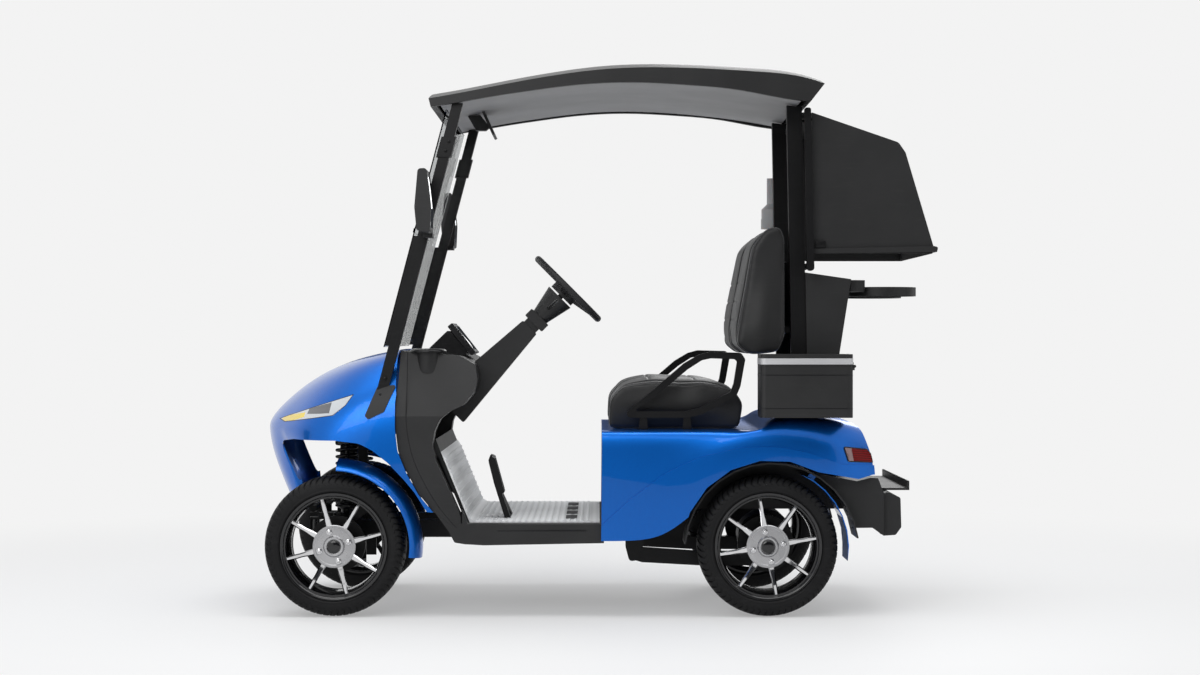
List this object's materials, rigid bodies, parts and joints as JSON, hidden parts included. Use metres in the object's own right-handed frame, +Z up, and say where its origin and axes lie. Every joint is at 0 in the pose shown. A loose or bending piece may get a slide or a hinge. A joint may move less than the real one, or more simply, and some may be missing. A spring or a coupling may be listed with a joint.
{
  "type": "golf cart",
  "caption": "Two-seat electric golf cart with roof, folding windscreen, dash, steering, arm rests, cooler box, basket, bag holder and lifting bag cover.",
  "frame": {"origin": "on the ground under the middle of the cart's overall box", "axes": "+X forwards, +Y to the driver's left, +Z up"},
  "size_m": [2.5519, 1.554, 2.0841],
  "materials": {
    "battery": "plain battery block",
    "black_plastic": "fine grained black moulding",
    "black_steel": "satin black powder coat",
    "blue_paint": "gloss metallic blue",
    "bottle": "frosted grey bottle",
    "clear": "clear acrylic",
    "grey_mat": "grey ribbed mat",
    "lamp": "clear lens over bright reflector",
    "leather": "black upholstery",
    "liner": "pale grey satin",
    "red_lamp": "deep red lens",
    "rim": "machined bright faces over gloss black",
    "roof_black": "satin black moulding",
    "rubber": "matt black rubber",
    "screen": "gloss black display",
    "tyre": "matt black rubber"
  },
  "bodies": {
    "chassis": {"chassis_frame": "black_steel", "floor_pan": "black_plastic", "floor_mat": "grey_mat", "front_cowl": "blue_paint", "headlamps": "lamp", "post_boots": "black_plastic", "dash_cowl": "black_plastic", "front_posts": "black_steel", "windshield": "clear", "roof_shell": "roof_black", "roof_liner": "liner", "side_mirrors": "black_plastic", "interior_mirror": "black_plastic", "display_screen": "screen", "steering_column": "black_plastic", "pedals": "black_steel", "rear_body": "blue_paint", "tail_lamps": "red_lamp", "seat_box_panel": "black_plastic", "rear_lower_panels": "black_plastic", "rear_mudguards": "blue_paint", "rear_bumper": "black_plastic", "bag_tray": "black_plastic", "seat_cushions": "leather", "seat_backs": "leather", "armrests": "black_steel", "rear_posts": "black_steel", "cover_bars": "black_steel", "sweater_basket": "black_plastic", "bag_rests": "black_plastic", "cooler_box": "black_plastic", "sand_bottle": "bottle", "battery_pack": "battery", "front_arms": "black_steel", "front_struts": "black_steel", "steering_rack": "black_steel", "rear_axle": "black_steel", "rear_springs": "black_steel"},
    "knuckle_left": {"knuckle_left": "black_steel", "mudguard_left": "blue_paint"},
    "knuckle_right": {"knuckle_right": "black_steel", "mudguard_right": "blue_paint"},
    "tie_rods": {"tie_rods": "black_steel"},
    "steering_wheel": {"steering_wheel": "rubber"},
    "bag_cover": {"bag_cover": "black_plastic"},
    "cooler_lid": {"cooler_lid": "black_plastic"},
    "wheel_front_left": {"tyre_front_left": "tyre", "rim_front_left": "rim"},
    "wheel_front_right": {"tyre_front_right": "tyre", "rim_front_right": "rim"},
    "wheel_rear_left": {"tyre_rear_left": "tyre", "rim_rear_left": "rim"},
    "wheel_rear_right": {"tyre_rear_right": "tyre", "rim_rear_right": "rim"}
  },
  "joints": [
    {"name": "steer_left", "type": "hinge", "parent": "chassis", "child": "knuckle_left", "pos_m": [0.973, 0.4, 0.26], "axis": [0, 0, 1], "range_deg": [-30, 30]},
    {"name": "spin_front_left", "type": "hinge", "parent": "knuckle_left", "child": "wheel_front_left", "pos_m": [0.973, 0.482, 0.26], "axis": [0, 1, 0], "continuous": true},
    {"name": "spin_rear_left", "type": "hinge", "parent": "chassis", "child": "wheel_rear_left", "pos_m": [-0.627, 0.482, 0.26], "axis": [0, 1, 0], "continuous": true},
    {"name": "steer_right", "type": "hinge", "parent": "chassis", "child": "knuckle_right", "pos_m": [0.973, -0.4, 0.26], "axis": [0, 0, 1], "range_deg": [-30, 30]},
    {"name": "spin_front_right", "type": "hinge", "parent": "knuckle_right", "child": "wheel_front_right", "pos_m": [0.973, -0.482, 0.26], "axis": [0, 1, 0], "continuous": true},
    {"name": "spin_rear_right", "type": "hinge", "parent": "chassis", "child": "wheel_rear_right", "pos_m": [-0.627, -0.482, 0.26], "axis": [0, 1, 0], "continuous": true},
    {"name": "steering_wheel_turn", "type": "hinge", "parent": "chassis", "child": "steering_wheel", "pos_m": [0.114, 0.28, 1.215], "axis": [-0.7071, 0, 0.7071], "range_deg": [-455, 455]},
    {"name": "tie_rod_slide", "type": "slide", "parent": "chassis", "child": "tie_rods", "axis": [0, 1, 0], "range_m": [-0.0505, 0.0505]},
    {"name": "bag_cover_hinge", "type": "hinge", "parent": "chassis", "child": "bag_cover", "pos_m": [-0.7805, 0, 1.865], "axis": [0, 1, 0], "range_deg": [0, 60]},
    {"name": "cooler_lid_hinge", "type": "hinge", "parent": "chassis", "child": "cooler_lid", "pos_m": [-0.94, 0.54, 0.92495], "axis": [0, -1, 0], "range_deg": [0, 80]}
  ],
  "couplings": [
    {"joint": "steer_right", "follows": "steer_left", "ratio": 1},
    {"joint": "steering_wheel_turn", "follows": "steer_left", "ratio": 15},
    {"joint": "tie_rod_slide", "follows": "steer_left", "m_per_rad": 0.0955}
  ]
}
